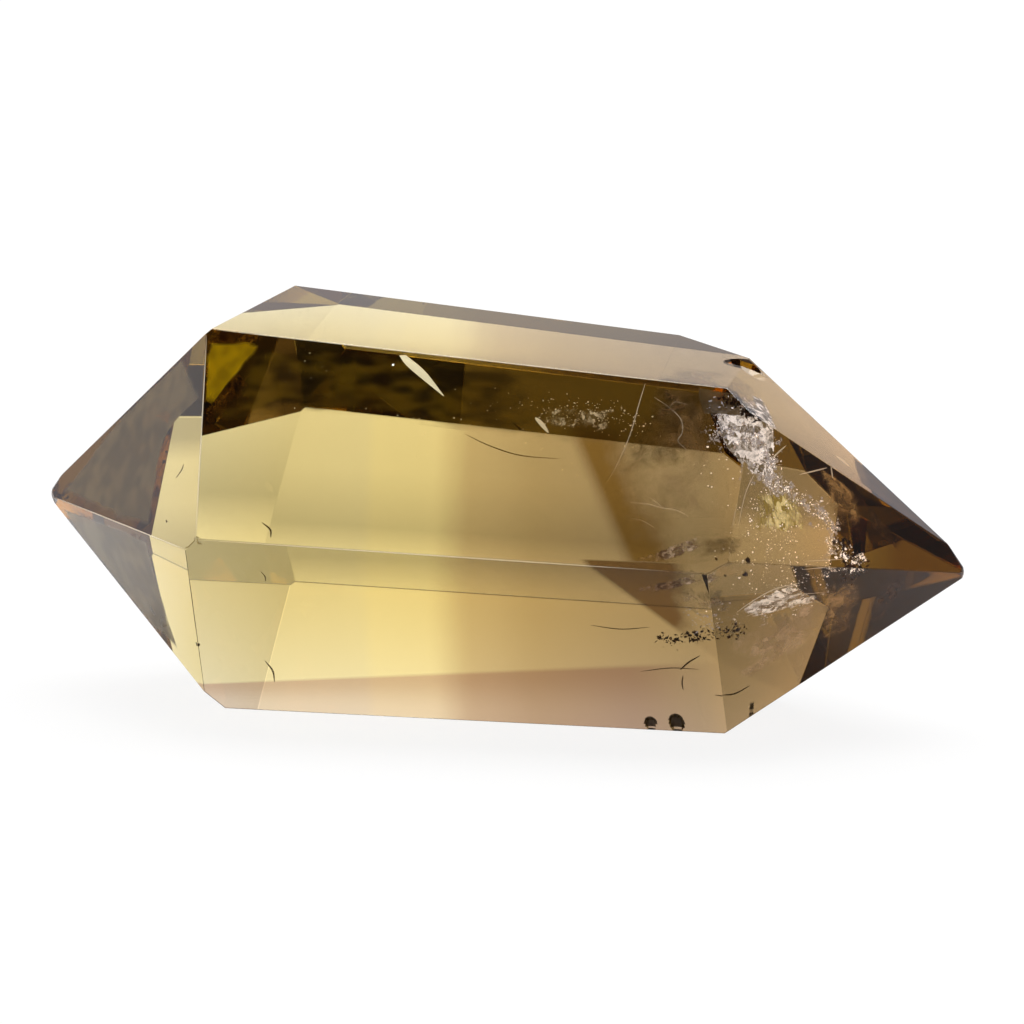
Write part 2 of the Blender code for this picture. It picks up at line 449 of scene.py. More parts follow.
def grid_faces(rows, columns, wrap=False):
    """Quads between neighbouring grid points, row by row; wrap joins the last column to the first."""
    last = columns if wrap else columns - 1
    i, j = np.meshgrid(np.arange(rows - 1), np.arange(last), indexing="ij")
    right = (j + 1) % columns
    here, below = i * columns, (i + 1) * columns
    return np.stack([here + j, here + right, below + right, below + j], axis=-1).reshape(-1, 4)


def smooth_path(stations, count):
    """Points along a smooth curve through the stations: Catmull-Rom, four stations at a time."""
    p = np.asarray(stations, dtype=float)
    p = np.vstack([2 * p[0] - p[1], p, 2 * p[-1] - p[-2]])
    s = np.linspace(0, len(p) - 3 - 1e-9, count)
    k, f = s.astype(int), (s - s.astype(int))[:, None]
    a, b, c, d = p[k], p[k + 1], p[k + 2], p[k + 3]
    return 0.5 * (2 * b + (c - a) * f + (2 * a - 5 * b + 4 * c - d) * f**2 + (3 * b - a - 3 * c + d) * f**3)


FIRST_RATE = 5.0  # radians across the sheet
SHORTER, LOWER = 1.55, 1.45  # from each wave to the next


def ripples(u, v, seed, waves=7):
    """Sum of sine waves with seeded headings, each wave shorter and lower than the last."""
    dice = np.random.default_rng(seed)
    height = np.zeros_like(u)
    for k in range(waves):
        heading, phase = dice.uniform(0, math.pi), dice.uniform(0, 2 * math.pi)
        rate = FIRST_RATE * SHORTER**k
        height += np.sin(rate * (u * math.cos(heading) + v * math.sin(heading)) + phase) / LOWER**k
    return height


def rippled_sheet(name, left, right, finish, ripple, seed, steps=(70, 50)):
    """A crack surface between two edge curves: p(u, v) = (1 - u) left(v) + u right(v),
    pushed off that surface by ripple times a sum of sine waves."""
    rows, columns = steps
    u, v = np.meshgrid(np.linspace(0, 1, columns), np.linspace(0, 1, rows))
    a, b = smooth_path(left, rows)[:, None], smooth_path(right, rows)[:, None]
    flat = a * (1 - u[..., None]) + b * u[..., None]
    normal = np.cross(np.gradient(flat, axis=1), np.gradient(flat, axis=0))
    normal /= np.linalg.norm(normal, axis=-1, keepdims=True) + 1e-12
    points = flat + normal * (ripple * ripples(u, v, seed))[..., None]
    sheet_map = np.stack([u, v], axis=-1).reshape(-1, 2)
    return inside_piece(name, points.reshape(-1, 3), grid_faces(rows, columns), finish, uv=sheet_map)


def make_all(maker, rows):
    """Makes a piece for each row of a table."""
    for name, row in rows.items():
        maker(name, *row)


PATH_POINTS = 400
LARGE_FACE = 4 * MM * MM  # faces from this size up bound the stone
MARGIN = 0.12  # mm, how far inside the faces the small marks stay


def inside_stone(points, margin=MARGIN):
    """Which points lie behind every large face: n . (p - c) < -margin for each face centre and normal."""
    sides = [face for face in stone.data.polygons if face.area > LARGE_FACE]
    centres = np.array([face.center for face in sides]) / MM
    normals = np.array([face.normal for face in sides])
    return ((points[:, None] - centres) * normals).sum(axis=2).max(axis=1) < -margin


def flake_crowd(name, stations, spread, count, size, finish, seed, clump=14, lean=(0, -1, 0.3), turn=0.9):
    """Small four-sided flakes along a path, in clumps: clump = path(s) + spread times a normal throw,
    centre = clump + a third of that throw, two half axes at right angles, each flake tipped off one lean."""
    dice = np.random.default_rng(seed)
    path = smooth_path(stations, PATH_POINTS)
    groups = max(1, count // clump)
    home = path[(dice.random(groups) * (PATH_POINTS - 1)).astype(int)]
    home = home + dice.normal(size=(groups, 3)) * np.asarray(spread)
    member = (dice.random(count) ** 1.6 * groups).astype(int)
    centre = home[member] + dice.normal(size=(count, 3)) * np.asarray(spread) / 3
    centre = centre[inside_stone(centre)]
    count = len(centre)
    normal = np.asarray(lean, dtype=float) + turn * dice.normal(size=(count, 3))
    normal /= np.linalg.norm(normal, axis=1, keepdims=True)
    first = np.cross(normal, dice.normal(size=(count, 3)))
    first /= np.linalg.norm(first, axis=1, keepdims=True)
    second = np.cross(normal, first)
    long = size[0] + (size[1] - size[0]) * dice.random((count, 1)) ** 3
    short = long * dice.uniform(0.3, 0.9, (count, 1))
    skew = dice.uniform(-0.4, 0.4, (count, 1))
    corners = [first * long, second * short + first * long * skew, -first * long * 0.8, -second * short]
    points = np.stack([centre + c for c in corners], axis=1)
    faces = np.arange(count * 4).reshape(count, 4)
    return inside_piece(name, points.reshape(-1, 3), faces, finish, smooth=False)


SKEW_WAY = (0.31, 0.52, 0.79)  # no thread runs along it
TUBE_ENDS = (0.004, 0.996)  # just short of both ends, where the tube would shrink to nothing


def thread(name, stations, radius, finish, sides=6, count=40):
    """A tube round a smooth path, radius times a half wave along it so both ends come to a point."""
    path = smooth_path(stations, count)
    ahead = np.gradient(path, axis=0)
    ahead /= np.linalg.norm(ahead, axis=1, keepdims=True)
    side = np.cross(ahead, SKEW_WAY)
    side /= np.linalg.norm(side, axis=1, keepdims=True)
    other = np.cross(ahead, side)
    t = np.linspace(0, 2 * math.pi, sides, endpoint=False)
    girth = radius * np.sqrt(np.sin(math.pi * np.linspace(*TUBE_ENDS, count)))[:, None, None]
    ring = side[:, None] * np.cos(t)[None, :, None] + other[:, None] * np.sin(t)[None, :, None]
    points = (path[:, None] + girth * ring).reshape(-1, 3)
    return inside_piece(name, points, grid_faces(count, sides, wrap=True), finish)


def speck_crowd(name, centres, spread, count, size, finish, seed):
    """Specks with eight faces: six points at plus and minus each axis, unevenly stretched and turned."""
    dice = np.random.default_rng(seed)
    home = np.asarray(centres, dtype=float)[dice.integers(0, len(centres), count)]
    centre = home + dice.normal(size=(count, 3)) * np.asarray(spread)
    centre = centre[inside_stone(centre)]
    count = len(centre)
    frame_axes = np.linalg.qr(dice.normal(size=(count, 3, 3)))[0]
    reach = (size[0] + (size[1] - size[0]) * dice.random((count, 3)) ** 2)[..., None]
    half = frame_axes * reach
    points = np.concatenate([half, -half], axis=1) + centre[:, None]
    octahedron = np.array([
        (0, 1, 2), (1, 3, 2), (3, 4, 2), (4, 0, 2), (1, 0, 5), (3, 1, 5), (4, 3, 5), (0, 4, 5)])
    faces = (octahedron[None] + np.arange(count)[:, None, None] * 6).reshape(-1, 3)
    return inside_piece(name, points.reshape(-1, 3), faces, finish, smooth=False)


# %% [markdown]
# ## Finishes for the marks
#
# A feather is a crack with a trace of air in it. It scatters light, so it is pale and
# rough, but it has holes, threads and thick parts. One group gives all of that from the
# place in the stone: a mask for how much crack there is, and a value for how white it
# is. The border fades by the sheet's own map.
#
# A real crack gathers light from all round. The pale finishes glow a little instead,
# but only where they are seen straight on, because in the long reflections the glow
# would come back as orange patches.

# %% Feathers, glints and specks
GRAIN_NAMES = ("Grain", "Openness", "Softness", "Border")
GRAIN_VALUES = {"Taper": 1.0, "Flakes": 0.38, "Detail": 7.0}  # unless a finish says otherwise
FINE_GRAIN = 3.1  # how much finer the fine noise is than the coarse one
FINE_DETAIL = 0.7  # and how much detail it has against the other
CELL_GRAIN = 2.2
BORDER_DROP = -0.45  # what a sheet's border takes off the noise
WHITE_STEP = (0.34, 0.66)


def feather_group():
    """Node group: place, sheet map and grain values in; a cover mask, a whiteness and a height out.
    Cover is a soft step of noise + fade, where fade falls off towards the sheet's border."""
    inputs = dict.fromkeys(("Place", "Sheet", "Stretch"), "Vector")
    inputs.update(dict.fromkeys(GRAIN_NAMES + tuple(GRAIN_VALUES), "Float"))
    results = dict.fromkeys(("Cover", "White", "Height"), "Float")
    group, given, result = new_group("feather_grain", inputs, results)
    plus, less, times, over = sums_in(group)

    def noise(scale, output=0, **more):
        inputs = {"Vector": in_mm, "Scale": scale}
        inputs.update({key.capitalize(): value for key, value in more.items()})
        return node_in(group, "TexNoise", inputs=inputs).outputs[output]

    def from_border(share):
        """0 at both borders and a half in the middle: 0.5 - |share - 0.5|."""
        return less(0.5, maths(group, "ABSOLUTE", less(share, 0.5)))

    in_mm = vector(group, "SCALE", {0: given["Place"], "Scale": 1 / MM})
    in_mm = vector(group, "MULTIPLY", {0: in_mm, 1: given["Stretch"]})
    grain, detail = given["Grain"], given["Detail"]
    coarse = noise(grain, detail=detail, roughness=0.72, distortion=1.2)
    fine = noise(times(grain, FINE_GRAIN), detail=times(detail, FINE_DETAIL), roughness=0.8)
    bent = vector(group, "ADD", {0: in_mm, 1: noise(grain, output=1, detail=3.0)})
    cells = node_in(group, "TexVoronoi", {"feature": "F1"}, {
        "Vector": bent, "Scale": times(grain, CELL_GRAIN)}).outputs["Color"]
    cell = node_in(group, "SeparateXYZ", inputs={0: cells}).outputs[0]
    flaky = plus(fine, times(less(cell, fine), given["Flakes"]))
    across, along, _ = node_in(group, "SeparateXYZ", inputs={0: given["Sheet"]}).outputs
    nearest = maths(group, "MINIMUM", over(from_border(across), given["Taper"]), from_border(along))
    level = plus(coarse, ramp(group, over(nearest, given["Border"]), 0.0, 1.0, BORDER_DROP, 0.0))
    low = less(given["Openness"], given["Softness"])
    high = plus(given["Openness"], given["Softness"])
    group.links.new(ramp(group, level, low, high), result["Cover"])
    group.links.new(ramp(group, flaky, *WHITE_STEP), result["White"])
    group.links.new(fine, result["Height"])
    return group


FEATHER_GRAIN = feather_group()
FEATHER_ROUGHNESS = 0.35
BUMP_DEPTH = 0.05 * MM
BUMP_STRENGTH = 0.7


def glow_with(tree, shader, colour, strength):
    """Lets a mark glow in its own colour where it is seen straight on. In the reflections of the
    stone's own faces, dozens of millimetres further on, it stays dark."""
    folds = maths(tree, "MINIMUM", node_in(tree, "LightPath").outputs["Glossy Depth"], 1.0)
    tree.links.new(blend(tree, folds, colour, (0, 0, 0, 1)), shader.inputs["Emission Color"])
    shader.inputs["Emission Strength"].default_value = strength


def crack_and_shade_finish(name, light, dark, cover, grain, glow=0.0, shine=0.5, stretch=(1, 1, 1), **others):
    """A crack finish, also used for the sheets of painted shade and painted light: colour goes from dark to
    light with the whiteness, alpha is cover times the mask.
    Other values are named as the group's inputs are, in small letters."""
    material, tree, shader = new_material(name)
    coords = node_in(tree, "TexCoord").outputs
    inputs = {"Place": coords["Object"], "Sheet": coords["UV"], "Stretch": stretch, **GRAIN_VALUES}
    inputs.update(zip(GRAIN_NAMES, grain))
    inputs.update({key.capitalize(): value for key, value in others.items()})
    grainy = node_in(tree, "Group", {"node_tree": FEATHER_GRAIN}, inputs).outputs
    colour = blend(tree, grainy["White"], (*dark, 1), (*light, 1))
    tree.links.new(colour, shader.inputs["Base Color"])
    tree.links.new(maths(tree, "MULTIPLY", grainy["Cover"], cover), shader.inputs["Alpha"])
    bump = node_in(tree, "Bump", inputs={
        "Strength": BUMP_STRENGTH, "Distance": BUMP_DEPTH, "Height": grainy["Height"]})
    tree.links.new(bump.outputs[0], shader.inputs["Normal"])
    shader.inputs["Roughness"].default_value = FEATHER_ROUGHNESS
    shader.inputs["Specular IOR Level"].default_value = shine
    if glow:
        glow_with(tree, shader, colour, glow)
    FINISHES[name] = material


def plain(name, colour, roughness=0.4, metal=0.0, glow=0.0, alpha=1.0):
    """A finish of one colour all over."""
    material, tree, shader = new_material(name)
    values = {"Base Color": (*colour, 1), "Roughness": roughness, "Metallic": metal, "Alpha": alpha}
    for key, value in values.items():
        shader.inputs[key].default_value = value
    if glow:
        glow_with(tree, shader, (*colour, 1), glow)
    FINISHES[name] = material


# Each has its colour where it is whitest, its colour where it is darkest, and the most that it covers.
# Then come its grain, openness, softness and border.
SMOOTH = dict(shine=0.0, flakes=0.0, detail=1.5)  # a soft sheet without grain or gloss, for the sheets of painted shade and painted light
crack_and_shade_finish("white_feather", (0.9, 0.91, 0.95), (0.1, 0.075, 0.035), 1.0, (1.5, 0.42, 0.06, 0.14), glow=1.2)
crack_and_shade_finish("silver_feather", (0.95, 0.84, 0.8), (0.2, 0.13, 0.11), 0.85, (1.6, 0.46, 0.1, 0.3), glow=0.55)
crack_and_shade_finish("flare_feather", (0.95, 0.93, 0.9), (0.16, 0.11, 0.06), 0.95, (1.8, 0.42, 0.1, 0.22), glow=1.1,
        stretch=(0.45, 1.0, 1.5))
crack_and_shade_finish("haze", (0.6, 0.44, 0.3), (0.24, 0.16, 0.09), 0.5, (0.42, 0.44, 0.26, 0.45), glow=0.28)
crack_and_shade_finish("mottle", (0.72, 0.58, 0.44), (0.05, 0.03, 0.012), 0.75, (0.95, 0.5, 0.14, 0.38), glow=0.32)
crack_and_shade_finish("cloud_veil", (1.0, 0.9, 0.62), (0.16, 0.11, 0.03), 0.9, (1.4, 0.5, 0.08, 0.35), glow=0.7)
crack_and_shade_finish("olive_veil", (0.95, 0.9, 0.5), (0.3, 0.24, 0.04), 0.9, (1.0, 0.42, 0.16, 0.35), glow=0.85,
        stretch=(1.6, 1.6, 0.45))
# Painted shade: a dark sheet that stops light running from one tip to the other.
crack_and_shade_finish("smoke_veil", (0.3, 0.24, 0.16), (0.12, 0.09, 0.05), 0.95, (0.3, 0.36, 0.12, 0.1), shine=0.0)
# Painted shade: a dark brown sheet where the smoky end looks dark.
crack_and_shade_finish("dusk", (0.34, 0.23, 0.12), (0.045, 0.026, 0.008), 0.75, (0.7, 0.45, 0.18, 0.32), shine=0.0,
        glow=0.15, flakes=0.2)
# Painted shade: a darker sheet at the shoulder.
crack_and_shade_finish("shoulder_dusk", (0.2, 0.115, 0.03), (0.03, 0.016, 0.003), 0.6, (0.8, 0.42, 0.22, 0.38),
        shine=0.0, glow=0.4, flakes=0.2)
crack_and_shade_finish("band_haze", (0.72, 0.5, 0.22), (0.28, 0.18, 0.07), 0.82, (0.9, 0.44, 0.2, 0.35), shine=0.0,
        glow=0.5)
crack_and_shade_finish("pink_haze", (0.9, 0.7, 0.52), (0.42, 0.31, 0.2), 0.6, (0.6, 0.44, 0.22, 0.38), glow=0.55)
# Painted shade: dark sheets under the top edge, where the faces show shade, and over orange patches of long
# reflections.
crack_and_shade_finish("band_shade", (0.105, 0.058, 0.002), (0.012, 0.006, 0.001), 0.74, (0.28, 0.24, 0.22, 0.22),
        glow=0.4, taper=1.8, stretch=(0.6, 1, 1.3), **SMOOTH)
# Painted shade, denser, over one orange patch under the top edge.
crack_and_shade_finish("dense_shade", (0.075, 0.042, 0.002), (0.014, 0.007, 0.001), 0.94, (0.28, 0.2, 0.14, 0.16),
        glow=0.4, **SMOOTH)
# Painted light: an olive sheet that glows to brighten the corner under the top edge.
crack_and_shade_finish("band_olive", (0.27, 0.16, 0.001), (0.17, 0.1, 0.001), 0.85, (0.3, 0.26, 0.18, 0.16), glow=0.85,
        **SMOOTH)
# Painted shade: a warm dark sheet behind the faces of the tips and at the shoulder, over orange patches and
# grey reflections; it glows a little as painted light.
crack_and_shade_finish("tip_shade", (0.19, 0.135, 0.06), (0.125, 0.088, 0.04), 0.88, (0.22, 0.22, 0.16, 0.07),
        glow=0.45, **SMOOTH)
# Darkens one nick at the foot.
crack_and_shade_finish("dark_tooth", (0.14, 0.08, 0.03), (0.02, 0.012, 0.006), 0.95, (1.1, 0.4, 0.14, 0.3), shine=0.0)
plain("glint", (0.88, 0.9, 1.0), roughness=0.15, metal=1.0, glow=0.4)
plain("bright_bit", (0.9, 0.93, 1.0), glow=1.5)
plain("cream_bit", (0.92, 0.84, 0.58), roughness=0.5, glow=0.55)
plain("iron_speck", (0.11, 0.05, 0.018), roughness=0.6, alpha=0.85)
# Darkens the inner side of the foot nicks.
plain("dark_nick_skin", (0.055, 0.03, 0.014), roughness=0.7, alpha=0.93)
plain("brown_stain", (0.12, 0.07, 0.03), roughness=0.7, alpha=0.8)
plain("pale_thread", (0.88, 0.84, 0.76), glow=0.55, alpha=0.5)
# Pale wear along the edges, with a glow that is a painted highlight.
plain("worn_and_highlit_edge", (0.95, 0.88, 0.72), roughness=0.6, glow=0.35, alpha=0.45)
print("finishes for the marks:", len(FINISHES))

# %% [markdown]
# ## The white fracture and the glitter
#
# The largest crack starts under the shoulder where the top meets the smoky tip, runs
# down as a bright crumpled sheet, and then breaks up into a band of flakes that bends
# down towards the tip.

# %% The white fracture and the glitter
FRACTURE = {  # left edge and right edge (mm), finish, ripple (mm), seed, and points down and across
    "white_fracture": (((12.3, -4.3, 17.2), (12.45, -4.9, 15.95), (13.0, -5.4, 14.9), (13.9, -5.8, 14.25),
         (14.35, -5.9, 13.4)),
        ((13.7, -2.6, 16.7), (14.8, -4.15, 15.65), (15.1, -4.35, 15.0), (15.25, -4.65, 14.2),
         (15.5, -4.9, 13.2)), "white_feather", 0.07, 3),
    "white_streak": (((13.1, -2.0, 17.0), (13.95, -3.7, 16.3), (14.6, -4.5, 15.5), (14.95, -4.9, 14.4)),
        ((13.5, -1.0, 16.8), (14.4, -2.5, 16.0), (15.15, -4.2, 15.4), (15.3, -4.7, 14.3)),
        "white_feather", 0.05, 6, (60, 20)),
    "white_fracture_back": (((13.0, -2.6, 17.1), (12.3, -3.6, 16.3), (12.6, -3.9, 15.3), (13.6, -4.1, 14.4)),
        ((13.9, -1.8, 16.9), (14.7, -2.6, 15.9), (14.9, -3.3, 15.0), (14.9, -3.8, 13.9)),
        "silver_feather", 0.12, 5),
}
make_all(rippled_sheet, FRACTURE)
BAND = ((14.6, -5.4, 14.2), (15.3, -4.8, 13.0), (16.2, -3.9, 12.2), (17.0, -3.2, 11.4), (17.6, -3.0, 10.6),
        (17.7, -3.5, 9.3))
SHOULDER = ((12.8, -4.5, 16.9), (12.8, -4.9, 15.7), (14.2, -4.9, 15.2), (14.9, -4.7, 14.2),
            (14.8, -4.8, 12.9))
STRAY = ((13.4, -5.4, 14.0), (15.0, -5.2, 12.0), (14.4, -6.0, 10.2), (16.6, -4.6, 9.4), (15.4, -5.4, 7.6))
GLITTER = {  # path, spread (mm), how many, smallest and largest (mm), finish, seed, flakes in a clump
    "glitter_band": (BAND, (0.28, 0.25, 0.32), 1500, (0.015, 0.13), "glint", 11, 9),
    "bright_band": (BAND, (0.26, 0.2, 0.3), 700, (0.012, 0.08), "bright_bit", 12, 6),
    "shoulder_glitter": (SHOULDER, (0.42, 0.25, 0.45), 1500, (0.02, 0.15), "glint", 13),
    "shoulder_bright": (SHOULDER, (0.34, 0.2, 0.42), 600, (0.012, 0.08), "bright_bit", 14, 6),
    "stray_glints": (STRAY, (0.9, 0.5, 0.9), 700, (0.012, 0.07), "bright_bit", 15, 4),
}
make_all(flake_crowd, GLITTER)
print("flakes in the glitter:", sum(PIECE_COUNT[name] for name in GLITTER))

# %% [markdown]
# ## Veils
#
# Behind the fracture hang thin veils that make the smoky end milky, and a silvery lens
# lies under the ridge. They are the same rippled sheet with softer finishes. Dark sheets
# of painted shade lie among them at the shoulder, along the ridge and at the right tip.
# One dark veil of painted shade crosses the whole stone, nearly square to its length. It
# stops the light that would run from one tip to the other.

# %% Veils
VEILS = {  # the same columns as for the fracture
    # Painted shade: a dark sheet across the whole stone.
    "cross_veil": (((8.96, -7.4, 12.2), (9.18, -6.6, 14.5), (9.38, -4.6, 17.8)),
        ((6.74, 8.6, 11.8), (7.26, 7.6, 14.5), (7.95, 6.2, 18.0)), "smoke_veil", 0.0, 20, (20, 20)),
    "long_veil": (((7.6, 0.4, 16.9), (7.6, 0.0, 15.5), (7.3, -1.2, 13.6), (7.1, -2.1, 12.2),
         (8.0, -3.5, 9.9)),
        ((12.6, 3.0, 17.0), (12.8, 2.4, 15.4), (12.9, 1.2, 13.4), (12.9, 0.2, 11.8), (12.7, -1.2, 9.6)),
        "haze", 0.1, 21),
    "front_haze": (((8.4, -4.0, 14.6), (8.45, -5.3, 12.5), (9.2, -6.6, 10.2)),
        ((12.6, -3.7, 14.5), (13.3, -4.9, 12.4), (13.3, -6.2, 10.3)), "haze", 0.15, 22),
    # This and the next four are dark sheets of painted shade at the shoulder and along the ridge.
    "shoulder_haze": (((8.1, -2.7, 17.3), (8.4, -4.2, 16.9), (8.4, -5.4, 15.0)),
        ((12.2, -3.5, 17.5), (12.5, -4.2, 16.5), (12.6, -5.3, 14.7)), "dusk", 0.12, 24),
    "shoulder_shade": (((11.46, -4.61, 17.94), (11.54, -4.93, 17.43), (11.91, -5.35, 16.7)),
        ((13.22, -3.9, 17.45), (13.6, -4.45, 17.15), (13.9, -5.22, 16.67)), "tip_shade", 0.02, 42, (24, 30)),
    "shoulder_dusk": (((7.31, -4.02, 17.21), (7.25, -5.42, 14.97), (7.27, -6.93, 12.56)),
        ((12.24, -3.83, 16.9), (12.14, -4.94, 15.13), (11.98, -5.97, 13.51)), "shoulder_dusk", 0.08, 45),
    "above_ridge_shade": (((12.07, -8.2, 10.9), (12.2, -9.0, 9.6)),
        ((14.59, -7.2, 10.95), (14.7, -7.85, 9.85)), "shoulder_dusk", 0.04, 46, (24, 24)),
    "ridge_shade": (((19.14, -2.19, 12.54), (20.48, -1.77, 10.97), (21.8, -1.24, 9.75)),
        ((19.48, -2.71, 11.1), (20.57, -2.38, 9.85), (21.58, -1.91, 8.95)), "dusk", 0.06, 43),
    "band_haze": (((16.07, -2.88, 14.6), (17.15, -3.51, 13.3), (18.1, -4.41, 10.06)),
        ((18.19, -1.9, 12.9), (19.6, -2.0, 11.5), (19.75, -3.2, 9.5)), "band_haze", 0.06, 47),
    "flare_haze": (((17.1, -5.5, 9.15), (17.24, -4.2, 6.92), (17.1, -2.68, 4.25)),
        ((19.63, -3.49, 9.06), (19.76, -2.37, 7.21), (18.74, -1.8, 4.94)), "band_haze", 0.06, 48),
    # Painted shade at the right tip.
    "tip_smoke": (((19.7, -3.5, 8.7), (19.8, -2.5, 7.2), (18.8, -1.8, 4.7)),
        ((22.4, -1.0, 8.8), (21.7, -1.2, 7.6), (19.6, -1.3, 4.9)), "dusk", 0.06, 44),
    "lilac_feather": (((7.8, -6.7, 8.45), (9.6, -6.1, 9.15), (11.1, -5.6, 9.85), (12.6, -5.2, 10.3)),
        ((7.9, -6.7, 8.35), (10.15, -6.4, 8.55), (12.0, -5.9, 9.1), (12.8, -5.4, 10.0)),
        "silver_feather", 0.05, 23, (80, 16)),
    "olive_glow": (((13.7, -5.5, 13.2), (13.8, -6.2, 12.1), (13.9, -7.2, 10.5)),
        ((16.3, -3.3, 12.6), (17.0, -3.4, 11.2), (17.4, -4.0, 9.7)), "olive_veil", 0.1, 25),
    "low_mottle": (((10.8, -8.6, 9.45), (10.8, -7.8, 8.0), (11.7, -6.9, 6.5)),
        ((14.0, -7.6, 9.45), (14.1, -6.6, 7.9), (13.7, -6.0, 6.3)), "mottle", 0.08, 26),
    "flare": (((13.8, -6.8, 7.2), (14.6, -6.6, 7.85), (15.7, -6.1, 8.5), (16.8, -5.4, 8.75)),
        ((14.2, -6.2, 6.6), (15.4, -5.4, 6.85), (16.9, -4.3, 7.1), (18.3, -3.3, 7.3)),
        "flare_feather", 0.06, 27, (70, 40)),
    "low_haze": (((12.2, -6.6, 5.7), (12.6, -5.5, 3.8), (12.9, -4.4, 2.1)),
        ((18.4, -4.3, 8.9), (18.3, -2.95, 6.75), (16.8, -2.45, 4.0)), "pink_haze", 0.12, 29),
    "band_cloud": (((2.1, -5.3, 16.9), (2.05, -5.8, 16.15), (2.6, -6.2, 15.4)),
        ((8.6, -4.7, 17.0), (8.7, -5.3, 16.1), (8.8, -5.9, 15.1)), "cloud_veil", 0.12, 41),
}
make_all(rippled_sheet, VEILS)
print("pieces so far:", len(PIECE_COUNT))

# %% [markdown]
# ## Painted shade in soft sheets
#
# Under the top edge and just behind the faces of both tips lie wide, thin sheets without
# any grain. They are painted shade, dark brown, put where the stone looks dark and over
# the orange patches of long reflections. In the corner under the top edge an olive sheet
# glows as painted light, and a pale bruise sits at the ridge. A shade could be a volume of
# its own, but a sheet with a soft border looks the same from the front, and costs far less.

# %% Painted shade in soft sheets
# Mostly painted shade; the olive corner glows as painted light, and the bruise at the ridge is a pale mark.
SOFT_SHEETS = {  # the same columns again
    "corner_olive": (((-14.25, -5.5, 19.35), (-14.1, -6.3, 18.1), (-13.8, -7.3, 16.35)),
        ((-11.3, -5.35, 19.2), (-12.3, -6.25, 17.9), (-13.45, -7.35, 16.3)),
        "band_olive", 0.03, 61, (30, 30)),
    "corner_shade": (((-12.6, -5.4, 19.2), (-12.9, -6.4, 17.55), (-13.56, -7.85, 15.25)),
        ((-7.0, -5.1, 18.9), (-7.05, -5.87, 17.68), (-7.6, -6.7, 16.4)), "band_shade", 0.02, 62, (30, 40)),
    "band_shade": (((-10.99, -5.16, 19.13), (-10.76, -5.96, 17.81), (-10.48, -6.85, 16.3)),
        ((5.01, -4.48, 18.22), (5.23, -5.34, 16.83), (5.56, -6.5, 14.85)), "band_shade", 0.03, 63, (40, 80)),
    "band_knot": (((-9.73, -4.99, 18.7), (-9.38, -5.84, 17.29), (-9.21, -6.61, 16.03)),
        ((-6.27, -4.77, 18.62), (-6.01, -5.68, 17.12), (-5.66, -6.56, 15.68)),
        "dense_shade", 0.02, 69, (30, 30)),
    # Painted shade behind the faces of the pale tip.
    "pale_tip_shade_upper": (((-15.5, -4.6, 18.3), (-19.77, -2.41, 14.26), (-23.64, -0.74, 9.85)),
        ((-14.0, -7.1, 16.6), (-16.1, -6.14, 14.0), (-16.3, -8.18, 9.49)), "tip_shade", 0.03, 64, (40, 40)),
    "pale_tip_shade_lower": (((-23.9, -0.48, 9.4), (-21.3, -1.85, 7.1), (-17.3, -4.1, 3.75)),
        ((-16.42, -7.95, 9.3), (-16.38, -6.8, 6.99), (-15.78, -5.3, 3.0)), "tip_shade", 0.03, 65, (40, 40)),
    # Painted shade behind the faces of the smoky tip.
    "smoky_tip_shade": (((18.07, 0.94, 13.84), (20.92, 0.24, 11.61), (23.45, -0.3, 9.65)),
        ((19.3, -2.0, 12.85), (21.4, -1.35, 11.2), (23.3, -0.45, 9.65)), "tip_shade", 0.02, 66, (40, 24)),
    "ridge_bruise": (((-13.3, -11.12, 10.37), (-13.2, -11.32, 9.86)),
        ((-12.7, -11.45, 10.15), (-12.7, -11.28, 9.8)), "cloud_veil", 0.02, 67, (16, 16)),
}
make_all(rippled_sheet, SOFT_SHEETS)
print("pieces so far:", len(PIECE_COUNT))

# %% [markdown]
# ## Threads, slivers and cracks
#
# Where a veil folds it shows as a bright thread, and a crack that is seen edge on is a
# dark one. Both are thin tubes that come to a point at both ends. The cream sliver
# under the top edge is wide and flat, so it is a small sheet.

